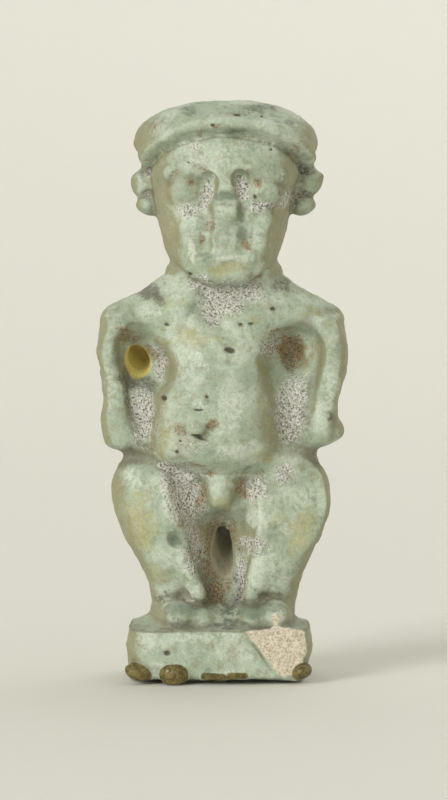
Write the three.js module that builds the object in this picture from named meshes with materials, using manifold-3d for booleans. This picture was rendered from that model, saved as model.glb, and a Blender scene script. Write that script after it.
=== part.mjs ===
// A small standing dwarf figure of glazed ware on a block base, in millimetres.
// +Z is up, the front faces -Y, and the underside of the base lies in the plane z = 0.
import * as THREE from "three";
import Module from "manifold-3d";

// ---- driving dimensions ----

// Upright forms. Each row is one level: height, left edge, right edge, front edge, back edge.
const HEAD = [
  [40.6, -3.2, 3.8, -5.4, 5.0],
  [41.8, -4.9, 5.3, -6.7, 6.0],
  [43.4, -5.7, 5.9, -7.1, 6.7],
  [45.7, -6.3, 6.5, -6.9, 7.2],
  [48.7, -6.9, 7.2, -6.9, 7.6],
  [51.2, -7.4, 8.0, -7.4, 7.8],
  [53.2, -7.4, 8.2, -7.2, 7.8],
];
const CAP = [
  [46.6, -5.8, 6.8, -7.6, 7.9],
  [48.8, -6.6, 7.5, -8.0, 8.5],
  [51.0, -7.2, 8.4, -8.2, 8.9],
  [52.4, -8.1, 9.2, -8.2, 9.1],
  [53.6, -8.7, 9.6, -8.0, 9.1],
];
const SHOULDERS = [
  [31.6, -10.4, 10.4, -2.9, 4.2],
  [33.6, -11.3, 11.3, -4.2, 4.6],
  [35.0, -11.7, 11.7, -4.8, 5.0],
  [36.7, -11.5, 11.4, -5.0, 5.2],
  [38.0, -9.9, 10.2, -4.8, 5.0],
  [39.0, -7.9, 8.4, -4.6, 4.8],
  [40.6, -5.6, 6.2, -4.4, 4.8],
];
const TRUNK = [
  [20.8, -4.9, 3.8, -5.6, 4.4],
  [22.2, -6.8, 5.2, -7.4, 4.6],
  [24.2, -7.8, 5.8, -8.3, 4.7],
  [26.8, -7.7, 5.7, -8.3, 4.4],
  [29.6, -6.8, 5.3, -7.3, 4.2],
  [32.7, -6.0, 5.0, -6.1, 4.5],
  [36.2, -6.0, 5.2, -5.6, 4.9],
];
const WAIST_PANEL = [
  [23.4, -9.6, 9.4, -4.0, 3.4],
  [27.0, -10.4, 10.2, -3.9, 3.7],
  [31.0, -10.6, 10.8, -3.7, 4.0],
  [36.0, -11.0, 11.0, -3.8, 4.4],
];
const LEFT_ARM = [
  [24.8, -11.6, -8.6, -4.5, 2.4],
  [26.2, -12.1, -9.0, -4.5, 2.9],
  [28.6, -11.85, -9.2, -4.2, 3.7],
  [30.8, -12.1, -9.5, -4.2, 4.2],
  [33.2, -12.6, -9.6, -4.5, 4.5],
  [35.4, -12.2, -8.8, -4.6, 4.6],
];
const RIGHT_ARM = [
  [25.2, 8.4, 11.0, -4.4, 2.4],
  [26.8, 8.8, 11.6, -4.4, 2.9],
  [28.4, 9.0, 11.8, -4.2, 3.7],
  [30.8, 9.4, 12.5, -4.3, 4.2],
  [32.8, 9.5, 12.7, -4.5, 4.5],
  [35.4, 8.8, 12.2, -4.6, 4.6],
];
const LEFT_LEG = [
  [7.6, -7.0, -1.6, -3.8, 4.2],
  [10.0, -7.6, -1.8, -4.9, 4.4],
  [12.4, -8.6, -1.9, -5.8, 4.5],
  [14.8, -9.8, -1.9, -6.3, 4.9],
  [17.6, -10.9, -1.7, -6.3, 5.7],
  [19.2, -11.1, -1.5, -6.0, 6.2],
];
const RIGHT_LEG = [
  [7.6, 1.6, 7.4, -3.8, 4.2],
  [10.0, 1.6, 7.9, -4.9, 4.4],
  [12.4, 1.6, 8.9, -5.8, 4.5],
  [14.8, 1.6, 10.1, -6.3, 4.9],
  [17.6, 1.4, 10.9, -6.3, 5.7],
  [19.2, 1.2, 10.8, -6.0, 6.2],
];
const BASE = [
  [0.9, -9.2, 8.4, -7.9, 7.0],
  [2.2, -9.5, 8.7, -8.1, 7.2],
  [3.6, -9.6, 9.0, -8.0, 7.2],
  [4.3, -9.5, 9.0, -7.9, 7.1],
];

// Each twist is in degrees and leans a form in the plane seen from the front.
const RIM = { height: 54.45, front: -7.6, slope: 0.38, bow: 0.012, roll: 0.45, band: 1.5 };
const ARM_HOLE = { at: [-8.5, 0, 31.9], radii: [1.05, 12, 1.6], twist: -22 };
const ARM_PIT = { at: [7.2, -1.4, 32.4], radii: [1.0, 2.2, 1.7], twist: -6 };
const LEG_HOLE = { at: [0.1, 0, 12.6], radii: [1.45, 12, 2.5] };
const BEVEL = { front: -8.0, height: 0.67, lean: 0.162 };
const CHIP = { left: 1.9, top: 4.9, depth: -7.75, turn: 0.2, run: 0.6 };

// The net of triangles: the first grid, how far a facet may stand off, and its shortest edge.
const GRID = 1.35;
const STAND_OFF = 0.08;
const SHORTEST = 0.7;
const BOUNDS = { low: [-14.2, -11.3, -2.2], high: [14, 12, 60.5] };

const GLAZE = { color: 0xa7bba5, roughness: 0.62, metalness: 0 };

// ---- blending ----

function join(a, b, soft) {
  const near = Math.max(soft - Math.abs(a - b), 0) / soft;
  return Math.min(a, b) - near * near * soft * 0.25;
}

function carve(a, b, soft) {
  return -join(-a, b, soft);
}

function joinAll(distances, soft) {
  return distances.reduce((sum, d) => join(sum, d, soft));
}

// ---- simple forms: each gives the distance of a point from its surface, below zero inside ----

function blob(p, { at, radii, power = 2, twist = 0 }) {
  const turn = THREE.MathUtils.degToRad(twist);
  const dx = p[0] - at[0];
  const dz = p[2] - at[2];
  const local = [
    dx * Math.cos(turn) - dz * Math.sin(turn),
    p[1] - at[1],
    dx * Math.sin(turn) + dz * Math.cos(turn),
  ];
  const q = local.map((v, i) => Math.abs(v) / radii[i] + 1e-4);
  const size = q.reduce((sum, v) => sum + v ** power, 0) ** (1 / power);
  const slope = Math.hypot(...q.map((v, i) => (v / size) ** (power - 1) / radii[i]));
  return (size - 1) / slope;
}

// A round bar that may taper, and may be deeper from front to back than it is wide.
function bar(p, from, to, startRadius, endRadius, deep = 1) {
  const squash = [1, 1 / deep, 1];
  const along = to.map((v, i) => (v - from[i]) * squash[i]);
  const q = p.map((v, i) => (v - from[i]) * squash[i]);
  const dot = q[0] * along[0] + q[1] * along[1] + q[2] * along[2];
  const length2 = along[0] ** 2 + along[1] ** 2 + along[2] ** 2;
  const t = Math.min(Math.max(dot / length2, 0), 1);
  const off = q.map((v, i) => v - t * along[i]);
  const reach = Math.hypot(...off) + 1e-6;
  const slope = Math.hypot(...off.map((v, i) => (v / reach) * squash[i]));
  return (reach - (startRadius + (endRadius - startRadius) * t)) / slope;
}

function roundedBlock(p, at, half, edge) {
  const q = p.map((v, i) => Math.abs(v - at[i]) - (half[i] - edge));
  const outside = Math.hypot(...q.map((v) => Math.max(v, 0)));
  return outside + Math.min(Math.max(...q), 0) - edge;
}

// Smooth curves through the levels of an upright form: one row of edges for any height.
function curvesThrough(levels) {
  const last = levels.length - 1;
  const rise = (i, c) => (levels[i + 1][c] - levels[i][c]) / (levels[i + 1][0] - levels[i][0]);
  const slopes = levels.map((row, i) =>
    row.map((_, c) => {
      if (i === 0) return rise(0, c);
      if (i === last) return rise(last - 1, c);
      const below = row[0] - levels[i - 1][0];
      const above = levels[i + 1][0] - row[0];
      return (rise(i - 1, c) * below + rise(i, c) * above) / (below + above);
    }),
  );
  return (height) => {
    const z = Math.min(Math.max(height, levels[0][0]), levels[last][0]);
    let i = 0;
    while (i < last - 1 && z > levels[i + 1][0]) i += 1;
    const step = levels[i + 1][0] - levels[i][0];
    const t = (z - levels[i][0]) / step;
    const ease = t * t * (3 - 2 * t);
    return [1, 2, 3, 4].map((c) => {
      const bend = step * (t * (1 - t) ** 2 * slopes[i][c] - t * t * (1 - t) * slopes[i + 1][c]);
      return levels[i][c] * (1 - ease) + levels[i + 1][c] * ease + bend;
    });
  };
}

// An upright form through its levels, closed by rounded ends. shear leans its front sideways.
function upright(levels, power, lowEnd, highEnd, shear = 0) {
  const edges = curvesThrough(levels);
  const bottom = levels[0][0];
  const top = levels[levels.length - 1][0];
  return (p) => {
    const [left, right, front, back] = edges(p[2]);
    const width = (right - left) / 2;
    const depth = (back - front) / 2;
    const end = p[2] < bottom ? lowEnd : highEnd;
    const y = p[1] - (front + back) / 2;
    const q = [
      Math.abs(p[0] - (left + right) / 2 - shear * y) / width + 1e-4,
      Math.abs(y) / depth + 1e-4,
      Math.max(bottom - p[2], p[2] - top, 0) / end + 1e-4,
    ];
    const size = q.reduce((sum, v) => sum + v ** power, 0) ** (1 / power);
    const scale = [width, depth, end];
    const slope = Math.hypot(...q.map((v, i) => (v / size) ** (power - 1) / scale[i]));
    return (size - 1) / slope;
  };
}

// ---- the figure ----

const headForm = upright(HEAD, 2.5, 1.4, 1.0);
const capForm = upright(CAP, 2.2, 2.0, 4.5);
const shoulderForm = upright(SHOULDERS, 2.4, 1.2, 2.4);
const trunkForm = upright(TRUNK, 2.2, 0.9, 2.0);
const panelForm = upright(WAIST_PANEL, 4, 1.5, 1.5);
const leftArmForm = upright(LEFT_ARM, 3, 1.6, 1.6);
const rightArmForm = upright(RIGHT_ARM, 3, 1.6, 1.6);
const leftLegForm = upright(LEFT_LEG, 2.2, 2.0, 3.7, 0.1);
const rightLegForm = upright(RIGHT_LEG, 2.2, 2.0, 3.7, -0.1);
const baseForm = upright(BASE, 7, 1.3, 0.8);

function faceBumps(p) {
  const parts = [
    blob(p, { at: [-3.5, -6.2, 48.2], radii: [1.7, 1.05, 1.15] }),
    blob(p, { at: [4.0, -6.2, 48.1], radii: [1.5, 1.05, 1.15] }),
    blob(p, { at: [0.35, -6.7, 46.2], radii: [1.5, 1.25, 1.2], power: 2.6 }),
    bar(p, [0.3, -6.4, 50.6], [0.35, -6.5, 47.2], 0.75, 0.85),
    blob(p, { at: [0.1, -7.0, 43.6], radii: [2.4, 0.9, 1.2] }),
    bar(p, [-1.8, -6.8, 41.6], [2.4, -6.8, 41.55], 0.6, 0.6),
  ];
  return joinAll(parts, 0.8);
}

// Inner eye corners, the hollows below the eyes, brow lines, nose root and mouth corners.
function faceHollows(p) {
  const parts = [
    bar(p, [-1.1, -7.3, 49.3], [-1.9, -7.4, 46.9], 0.75, 0.75),
    bar(p, [1.6, -7.3, 49.6], [2.4, -7.4, 47.0], 0.75, 0.7),
    bar(p, [-1.9, -7.5, 46.9], [-4.0, -7.3, 46.6], 0.6, 0.45),
    bar(p, [2.4, -7.5, 47.0], [4.6, -7.2, 46.8], 0.6, 0.45),
    bar(p, [-3.3, -7.5, 50.3], [-1.0, -7.6, 49.8], 0.45, 0.6),
    bar(p, [1.6, -7.6, 50.0], [4.0, -7.4, 50.2], 0.6, 0.45),
    bar(p, [-0.4, -7.75, 47.8], [1.2, -7.75, 47.8], 0.5, 0.5),
    bar(p, [-1.9, -8.3, 43.7], [-1.9, -8.2, 42.9], 0.75, 0.75),
    bar(p, [2.3, -8.3, 43.1], [2.3, -8.2, 42.5], 0.75, 0.75),
    bar(p, [-1.0, -8.0, 40.75], [1.4, -8.0, 40.7], 0.5, 0.5),
  ];
  return joinAll(parts, 0.3);
}

// The skull cap, cut along a slanting edge that carries a rolled rim.
function cap(p) {
  const above =
    p[2] - RIM.height + RIM.slope * (p[1] - RIM.front) + RIM.bow * (p[0] - 0.5) ** 2;
  const swell = Math.max(1 - ((above - 0.9) / RIM.band) ** 2, 0);
  return carve(capForm(p) - RIM.roll * swell * swell, above, 0.7);
}

function ears(p) {
  const left = join(
    blob(p, { at: [-7.7, 0.4, 49.8], radii: [1.6, 1.9, 1.4], twist: 20 }),
    blob(p, { at: [-7.3, 0.1, 47.7], radii: [1.25, 1.6, 1.05] }),
    0.5,
  );
  const right = join(
    blob(p, { at: [8.4, 0.4, 49.9], radii: [1.9, 1.9, 1.4], twist: -15 }),
    blob(p, { at: [8.0, 0.1, 47.6], radii: [1.4, 1.6, 1.1] }),
    0.5,
  );
  return Math.min(left, right);
}

function head(p) {
  const muzzle = blob(p, { at: [0.1, -5.5, 42.8], radii: [4.6, 1.9, 3.0], power: 2.3 });
  let d = join(headForm(p), muzzle, 1.4);
  d = join(d, faceBumps(p), 0.6);
  d = carve(d, faceHollows(p), 0.5);
  d = join(d, cap(p), 0.35);
  return join(d, ears(p), 0.9);
}

// The hollows between the arms and the trunk.
function armpits(p) {
  const left = join(
    blob(p, { at: [-8.2, -4.6, 32.0], radii: [2.0, 3.5, 4.0], twist: -26 }),
    bar(p, [-8.2, -5.4, 29.6], [-7.4, -5.6, 24.4], 1.7, 0.5, 1.3),
    1,
  );
  const right = join(
    blob(p, { at: [7.3, -4.8, 32.6], radii: [2.5, 3.3, 3.4], twist: 20 }),
    bar(p, [7.1, -5.5, 30.2], [6.5, -5.7, 25.0], 1.8, 0.6, 1.3),
    1,
  );
  return Math.min(left, right);
}

function hands(p) {
  const left = bar(p, [-10.4, -1.8, 25.2], [-8.2, -2.6, 24.0], 1.5, 1.1, 1.8);
  const right = bar(p, [11.35, -1.6, 24.95], [8.6, -2.4, 24.6], 0.95, 1.25, 1.9);
  return Math.min(left, right);
}

function neckHollow(p) {
  const wide = blob(p, { at: [0.2, -7.2, 38.4], radii: [4.2, 2.4, 1.6], power: 2.2 });
  const point = blob(p, { at: [-0.6, -6.9, 37.2], radii: [2.2, 1.9, 2.6] });
  return join(wide, point, 0.8);
}

function torso(p) {
  const arms = Math.min(leftArmForm(p), rightArmForm(p));
  let d = join(shoulderForm(p), trunkForm(p), 2.2);
  d = join(d, join(arms, hands(p), 1.4), 1.6);
  d = join(d, panelForm(p), 1.2);
  d = carve(d, armpits(p), 1.6);
  return carve(d, neckHollow(p), 0.8);
}

function feet(p) {
  const left = bar(p, [-4.7, -1.0, 7.0], [-4.4, -5.6, 6.0], 2.2, 1.5, 0.9);
  const right = bar(p, [4.6, -1.0, 7.0], [4.3, -5.6, 6.0], 2.2, 1.5, 0.9);
  return Math.min(left, right);
}

// The front right corner of the base has broken away behind two planes.
function chip(p) {
  const side = (CHIP.left - p[0]) * 0.8 + (CHIP.top - p[2]) * CHIP.run;
  const face = (p[1] - CHIP.depth) * 0.95 - (p[0] - 6) * CHIP.turn;
  return Math.max(side, face);
}

// Glaze that ran down and set below the front edge of the base.
function drips(p) {
  return Math.min(
    blob(p, { at: [-8.3, -7.3, 1.1], radii: [1.3, 0.9, 0.75], twist: 20 }),
    blob(p, { at: [-4.8, -7.9, 0.95], radii: [1.25, 0.75, 0.98] }),
    blob(p, { at: [7.8, -6.9, 1.2], radii: [0.95, 0.8, 0.6], twist: -10 }),
  );
}

function legsAndBase(p) {
  const hips = blob(p, { at: [-0.1, 0.7, 21.1], radii: [8.9, 5.0, 4.0], power: 2.2 });
  const web = roundedBlock(p, [0, 0.8, 12], [3.4, 3.6, 7.5], 0.8);
  const mound = blob(p, { at: [-0.3, -0.4, 4.4], radii: [8.2, 6.6, 2.8], power: 2.6 });
  const bevel = BEVEL.height - p[2] - BEVEL.lean * (p[1] - BEVEL.front);
  let d = join(leftLegForm(p), rightLegForm(p), 1.5);
  d = join(d, feet(p), 1.0);
  d = join(d, hips, 1.4);
  d = join(d, web, 1.2);
  d = join(join(d, mound, 1.6), baseForm(p), 0.8);
  d = carve(d, chip(p), 0.25);
  d = carve(d, -bevel, 0.3);
  return join(d, drips(p), 0.3);
}

function figure(p) {
  const navel = blob(p, { at: [-1.6, -9.3, 24.4], radii: [1.5, 1.5, 0.7], twist: -15 });
  const navelNub = blob(p, { at: [-2.6, -7.9, 25.1], radii: [0.8, 0.7, 0.7] });
  const loins = bar(p, [-0.1, -4.4, 19.8], [0, -5.2, 18.1], 1.35, 1.15, 1.1);
  const collarLine = bar(p, [-3.4, -5.6, 38.8], [-1.7, -5.7, 36.4], 0.45, 0.4);
  const legFunnel = bar(p, [0, -4.2, 14.9], [-0.2, -4.2, 9.0], 2.0, 0.8, 1.8);
  const holes = Math.min(blob(p, ARM_HOLE), blob(p, ARM_PIT), blob(p, LEG_HOLE));
  let d = join(head(p), torso(p), 0.6);
  d = join(d, legsAndBase(p), 1.3);
  d = join(d, loins, 1.0);
  d = carve(d, navel, 0.6);
  d = join(d, navelNub, 0.5);
  d = carve(d, collarLine, 0.4);
  d = carve(d, legFunnel, 0.8);
  return carve(d, holes, 0.6);
}

// ---- the net of triangles ----

function slopeAt(p) {
  const step = 0.02;
  return p.map((_, i) => {
    const ahead = p.slice();
    const behind = p.slice();
    ahead[i] += step;
    behind[i] -= step;
    return (figure(ahead) - figure(behind)) / (2 * step);
  });
}

// Carries a point along the slope until it lies on the surface.
function settle(start) {
  let p = start;
  for (let pass = 0; pass < 6; pass += 1) {
    const d = figure(p);
    const slope = slopeAt(p);
    const steep = slope[0] ** 2 + slope[1] ** 2 + slope[2] ** 2;
    const move = Math.max(Math.min(d / Math.max(steep, 0.05), 0.5), -0.5);
    p = p.map((v, i) => v - slope[i] * move);
    if (Math.abs(d) < 1e-3) break;
  }
  return p;
}

// One vertex in every grid cell the surface passes through, four of them round each crossed edge.
function firstNet() {
  const count = BOUNDS.low.map((low, i) => Math.ceil((BOUNDS.high[i] - low) / GRID) + 1);
  const [nx, ny, nz] = count;
  const corner = (i, j, k) => [i, j, k].map((v, c) => BOUNDS.low[c] + v * GRID);
  const index = (i, j, k) => (k * ny + j) * nx + i;
  const values = new Float64Array(nx * ny * nz);
  for (let k = 0; k < nz; k += 1)
    for (let j = 0; j < ny; j += 1)
      for (let i = 0; i < nx; i += 1) values[index(i, j, k)] = figure(corner(i, j, k));

  const points = [];
  const cellPoint = new Map();
  const pointOf = (i, j, k) => {
    const key = index(i, j, k);
    if (!cellPoint.has(key)) {
      const sum = [0, 0, 0];
      let crossings = 0;
      for (let axis = 0; axis < 3; axis += 1)
        for (let side = 0; side < 4; side += 1) {
          const a = [i, j, k];
          a[(axis + 1) % 3] += side & 1;
          a[(axis + 2) % 3] += side >> 1;
          const b = a.slice();
          b[axis] += 1;
          const da = values[index(...a)];
          const db = values[index(...b)];
          if (da < 0 === db < 0) continue;
          const t = da / (da - db);
          a.forEach((v, c) => (sum[c] += v + (b[c] - v) * t));
          crossings += 1;
        }
      cellPoint.set(key, points.length);
      points.push(settle(corner(...sum.map((v) => v / crossings))));
    }
    return cellPoint.get(key);
  };

  const triangles = [];
  for (let k = 1; k < nz - 1; k += 1)
    for (let j = 1; j < ny - 1; j += 1)
      for (let i = 1; i < nx - 1; i += 1)
        for (let axis = 0; axis < 3; axis += 1) {
          const b = [i, j, k];
          b[axis] += 1;
          const inside = values[index(i, j, k)] < 0;
          if (inside === values[index(...b)] < 0) continue;
          const round = [
            [0, 0],
            [-1, 0],
            [-1, -1],
            [0, -1],
          ].map(([u, v]) => {
            const cell = [i, j, k];
            cell[(axis + 1) % 3] += u;
            cell[(axis + 2) % 3] += v;
            return pointOf(...cell);
          });
          if (!inside) round.reverse();
          addQuad(points, triangles, round);
        }
  return { points, triangles };
}

function between(a, b) {
  return Math.hypot(a[0] - b[0], a[1] - b[1], a[2] - b[2]);
}

function addQuad(points, triangles, [a, b, c, d]) {
  if (between(points[a], points[c]) < between(points[b], points[d]))
    triangles.push([a, b, c], [a, c, d]);
  else triangles.push([b, c, d], [b, d, a]);
}

// Splits each edge whose middle stands off the surface, and shares its new vertex.
function refine({ points, triangles }) {
  const middles = new Map();
  const middleOf = (a, b) => {
    const key = a < b ? a * 1e6 + b : b * 1e6 + a;
    if (!middles.has(key)) {
      const half = points[a].map((v, i) => (v + points[b][i]) / 2);
      const length = between(points[a], points[b]);
      const split = length > SHORTEST && Math.abs(figure(half)) > STAND_OFF;
      middles.set(key, split ? points.push(settle(half)) - 1 : null);
    }
    return middles.get(key);
  };
  const result = [];
  for (const t of triangles) {
    const m = t.map((v, i) => middleOf(v, t[(i + 1) % 3]));
    const found = m.filter((v) => v !== null).length;
    if (found === 0) result.push(t);
    if (found === 3) result.push([t[0], m[0], m[2]], [t[1], m[1], m[0]], [t[2], m[2], m[1]], m);
    if (found === 1) {
      const i = m.findIndex((v) => v !== null);
      const [a, b, c] = [t[i], t[(i + 1) % 3], t[(i + 2) % 3]];
      result.push([a, m[i], c], [m[i], b, c]);
    }
    if (found === 2) {
      const i = m.findIndex((v) => v === null);
      const [a, b, c] = [t[i], t[(i + 1) % 3], t[(i + 2) % 3]];
      const [right, left] = [m[(i + 1) % 3], m[(i + 2) % 3]];
      result.push([c, left, right]);
      addQuad(points, result, [a, b, right, left]);
    }
  }
  return { points, triangles: result };
}

// Evens out the net: each vertex moves toward the middle of its neighbours and settles again.
function relax({ points, triangles }) {
  const neighbours = points.map(() => new Set());
  for (const t of triangles)
    t.forEach((v, i) => neighbours[v].add(t[(i + 1) % 3]).add(t[(i + 2) % 3]));
  const moved = points.map((p, v) => {
    const near = [...neighbours[v]].map((n) => points[n]);
    return settle(p.map((c, i) => c * 0.5 + (near.reduce((s, n) => s + n[i], 0) / near.length) * 0.5));
  });
  return { points: moved, triangles };
}

function solid(wasm, points, triangles) {
  const vertProperties = new Float32Array(points.flat());
  const triVerts = new Uint32Array(triangles.flat());
  return new wasm.Manifold(new wasm.Mesh({ numProp: 3, vertProperties, triVerts }));
}

function boxSolid(wasm, width, depth, height, at) {
  const box = new THREE.BoxGeometry(width, depth, height).translate(...at);
  const corners = [];
  const known = new Map();
  const read = box.attributes.position;
  const order = Array.from(box.index.array, (v) => {
    const corner = [read.getX(v), read.getY(v), read.getZ(v)];
    const key = corner.join();
    if (!known.has(key)) known.set(key, corners.push(corner) - 1);
    return known.get(key);
  });
  const triangles = Array.from({ length: order.length / 3 }, (_, i) => order.slice(i * 3, i * 3 + 3));
  return solid(wasm, corners, triangles);
}

const wasm = await Module();
wasm.setup();

let net = relax(relax(firstNet()));
for (let pass = 0; pass < 3; pass += 1) net = refine(net);
net = relax(net);

const ground = boxSolid(wasm, 60, 60, 10, [0, 0, -5]);
const cut = solid(wasm, net.points, net.triangles).subtract(ground);
const made = cut.getMesh();

const geometry = new THREE.BufferGeometry();
geometry.setAttribute("position", new THREE.BufferAttribute(made.vertProperties, 3));
geometry.setIndex(new THREE.BufferAttribute(made.triVerts, 1));
geometry.computeVertexNormals();

const amulet = new THREE.Mesh(geometry, new THREE.MeshStandardMaterial(GLAZE));
amulet.name = "pataikos_amulet";

const part = new THREE.Group();
part.add(amulet);

export default part;
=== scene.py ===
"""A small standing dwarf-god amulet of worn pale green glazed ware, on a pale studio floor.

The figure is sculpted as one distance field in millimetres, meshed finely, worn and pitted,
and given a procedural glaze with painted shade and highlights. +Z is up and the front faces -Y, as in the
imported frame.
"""

import math

import bpy
import numpy as np
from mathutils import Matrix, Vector


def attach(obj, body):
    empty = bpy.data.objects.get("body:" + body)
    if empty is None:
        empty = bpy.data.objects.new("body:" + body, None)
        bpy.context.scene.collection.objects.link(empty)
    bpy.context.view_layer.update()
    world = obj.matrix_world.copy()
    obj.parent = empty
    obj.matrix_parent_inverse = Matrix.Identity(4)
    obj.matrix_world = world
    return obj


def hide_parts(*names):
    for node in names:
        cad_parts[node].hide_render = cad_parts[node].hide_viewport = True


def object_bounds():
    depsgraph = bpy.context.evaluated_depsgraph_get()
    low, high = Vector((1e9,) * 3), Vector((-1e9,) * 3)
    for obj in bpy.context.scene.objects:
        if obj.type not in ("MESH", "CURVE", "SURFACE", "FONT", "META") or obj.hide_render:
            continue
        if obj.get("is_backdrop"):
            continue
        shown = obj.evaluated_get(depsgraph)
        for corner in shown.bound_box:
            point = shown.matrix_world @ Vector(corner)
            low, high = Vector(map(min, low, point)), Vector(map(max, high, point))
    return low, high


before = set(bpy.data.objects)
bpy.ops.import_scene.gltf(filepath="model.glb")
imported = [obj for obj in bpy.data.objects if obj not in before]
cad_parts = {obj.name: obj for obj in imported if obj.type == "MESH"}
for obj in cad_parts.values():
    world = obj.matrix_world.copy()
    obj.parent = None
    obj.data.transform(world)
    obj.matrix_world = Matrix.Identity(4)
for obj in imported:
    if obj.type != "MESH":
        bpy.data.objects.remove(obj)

cad_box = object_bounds()

MM = 0.001
NODE = "pataikos_amulet"

# ---- driving dimensions, in millimetres ----

# Upright forms. Each row is one level: height, left edge, right edge, front edge, back edge.
HEAD = [
    (40.6, -3.2, 3.8, -5.4, 5.0),
    (41.8, -4.9, 5.3, -6.5, 6.0),
    (43.4, -5.7, 5.9, -6.8, 6.7),
    (45.7, -6.3, 6.5, -6.8, 7.2),
    (48.7, -6.9, 7.2, -6.8, 7.6),
    (51.2, -7.4, 8.0, -7.2, 7.8),
    (53.4, -7.6, 8.3, -7.3, 7.9),
    (55.4, -7.4, 8.1, -7.0, 7.7),
]
CAP = [
    (46.6, -5.8, 6.8, -7.4, 7.9),
    (48.8, -6.6, 7.5, -7.8, 8.5),
    (51.0, -7.2, 8.4, -8.1, 8.9),
    (52.4, -8.1, 9.2, -8.2, 9.1),
    (53.6, -8.7, 9.6, -8.1, 9.1),
]
SHOULDERS = [
    (31.6, -10.4, 10.4, -2.9, 4.2),
    (33.6, -11.3, 11.3, -4.2, 4.6),
    (35.0, -11.7, 11.7, -4.8, 5.0),
    (36.7, -11.5, 11.4, -5.0, 5.2),
    (38.0, -9.9, 10.2, -4.8, 5.0),
    (39.0, -7.9, 8.4, -4.6, 4.8),
    (40.6, -5.6, 6.2, -4.4, 4.8),
]
TRUNK = [
    (20.8, -4.9, 3.8, -5.6, 4.4),
    (22.2, -6.8, 5.2, -7.7, 4.6),
    (24.2, -7.8, 5.8, -8.7, 4.7),
    (26.8, -7.7, 5.7, -8.7, 4.4),
    (29.6, -6.8, 5.3, -7.6, 4.2),
    (32.7, -6.0, 5.0, -6.1, 4.5),
    (36.2, -6.0, 5.2, -5.6, 4.9),
]
WAIST_PANEL = [
    (23.4, -9.6, 9.4, -4.0, 3.4),
    (27.0, -10.4, 10.2, -3.9, 3.7),
    (31.0, -10.6, 10.8, -3.7, 4.0),
    (36.0, -11.0, 11.0, -3.8, 4.4),
]
LEFT_ARM = [
    (24.8, -11.6, -8.6, -4.5, 2.4),
    (26.2, -12.1, -9.0, -4.5, 2.9),
    (28.6, -11.85, -9.2, -4.2, 3.7),
    (30.8, -12.1, -9.5, -4.2, 4.2),
    (33.2, -12.6, -9.6, -4.5, 4.5),
    (35.4, -12.2, -8.8, -4.6, 4.6),
]
RIGHT_ARM = [
    (25.2, 8.4, 11.0, -4.4, 2.4),
    (26.8, 8.8, 11.6, -4.4, 2.9),
    (28.4, 9.0, 11.8, -4.2, 3.7),
    (30.8, 9.4, 12.5, -4.3, 4.2),
    (32.8, 9.5, 12.7, -4.5, 4.5),
    (35.4, 8.8, 12.2, -4.6, 4.6),
]
LEFT_LEG = [
    (7.6, -7.0, -1.6, -3.8, 4.2),
    (10.0, -7.6, -1.8, -4.9, 4.4),
    (12.4, -8.6, -1.9, -5.8, 4.5),
    (14.8, -9.8, -1.9, -6.3, 4.9),
    (17.6, -10.9, -1.7, -6.3, 5.7),
    (19.2, -11.1, -1.5, -6.0, 6.2),
]
RIGHT_LEG = [
    (7.6, 1.6, 7.4, -3.8, 4.2),
    (10.0, 1.6, 7.9, -4.9, 4.4),
    (12.4, 1.6, 8.9, -5.8, 4.5),
    (14.8, 1.6, 10.1, -6.3, 4.9),
    (17.6, 1.4, 10.9, -6.3, 5.7),
    (19.2, 1.2, 10.8, -6.0, 6.2),
]
BASE = [
    (0.9, -9.2, 8.4, -7.9, 7.0),
    (2.2, -9.5, 8.8, -8.1, 7.2),
    (3.6, -9.6, 9.1, -8.1, 7.2),
    (4.7, -9.3, 8.9, -7.9, 7.1),
]

RIM_HEIGHT = 54.95
RIM_FRONT = -7.6
RIM_SLOPE = 0.33
RIM_BOW = 0.027
RIM_ROLL = 0.6
RIM_BAND = 1.4
RIM_GROOVE = 0.5
BEVEL_HEIGHT = 0.67
BEVEL_FRONT = -8.0
BEVEL_LEAN = 0.162
CHIP_LEFT = 1.9
CHIP_TOP = 5.6
CHIP_FRONT = -8.1
CHIP_FALL = 0.3
CHIP_STEP = 0.22
PASSAGE_MOUTH = -2.6

# ---- blending ----


def join(a, b, soft):
    near = np.maximum(soft - np.abs(a - b), 0) / soft
    return np.minimum(a, b) - near * near * soft * 0.25


def carve(a, b, soft):
    return -join(-a, b, soft)


def join_all(distances, soft):
    total = distances[0]
    for d in distances[1:]:
        total = join(total, d, soft)
    return total


# ---- simple forms: each gives the distances of points from its surface, below zero inside ----


def blob(p, at, radii, power=2.0, twist=0.0):
    turn = math.radians(twist)
    x, y, z = (p - np.asarray(at, p.dtype)).T
    local = np.stack(
        [
            x * math.cos(turn) - z * math.sin(turn),
            y,
            x * math.sin(turn) + z * math.cos(turn),
        ],
        axis=1,
    )
    radii = np.asarray(radii, p.dtype)
    q = np.abs(local) / radii + 1e-4
    size = (q**power).sum(1) ** (1 / power)
    slope = (q / size[:, None]) ** (power - 1) / radii
    return (size - 1) / np.sqrt((slope * slope).sum(1))


def bar(p, start, end, start_radius, end_radius, deep=1.0):
    """A round bar that may taper, and may be deeper from front to back than it is wide."""
    squash = np.array([1, 1 / deep, 1], p.dtype)
    start = np.asarray(start, p.dtype) * squash
    along = np.asarray(end, p.dtype) * squash - start
    q = p * squash - start
    t = np.clip(q @ along / (along @ along), 0, 1)
    off = q - t[:, None] * along
    reach = np.sqrt((off * off).sum(1)) + 1e-6
    slope = off / reach[:, None] * squash
    radius = start_radius + (end_radius - start_radius) * t
    return (reach - radius) / np.sqrt((slope * slope).sum(1))


def rounded_block(p, at, half, edge):
    q = np.abs(p - np.asarray(at, p.dtype)) - (np.asarray(half, p.dtype) - edge)
    outside = np.sqrt((np.maximum(q, 0) ** 2).sum(1))
    return outside + np.minimum(q.max(1), 0) - edge


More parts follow.
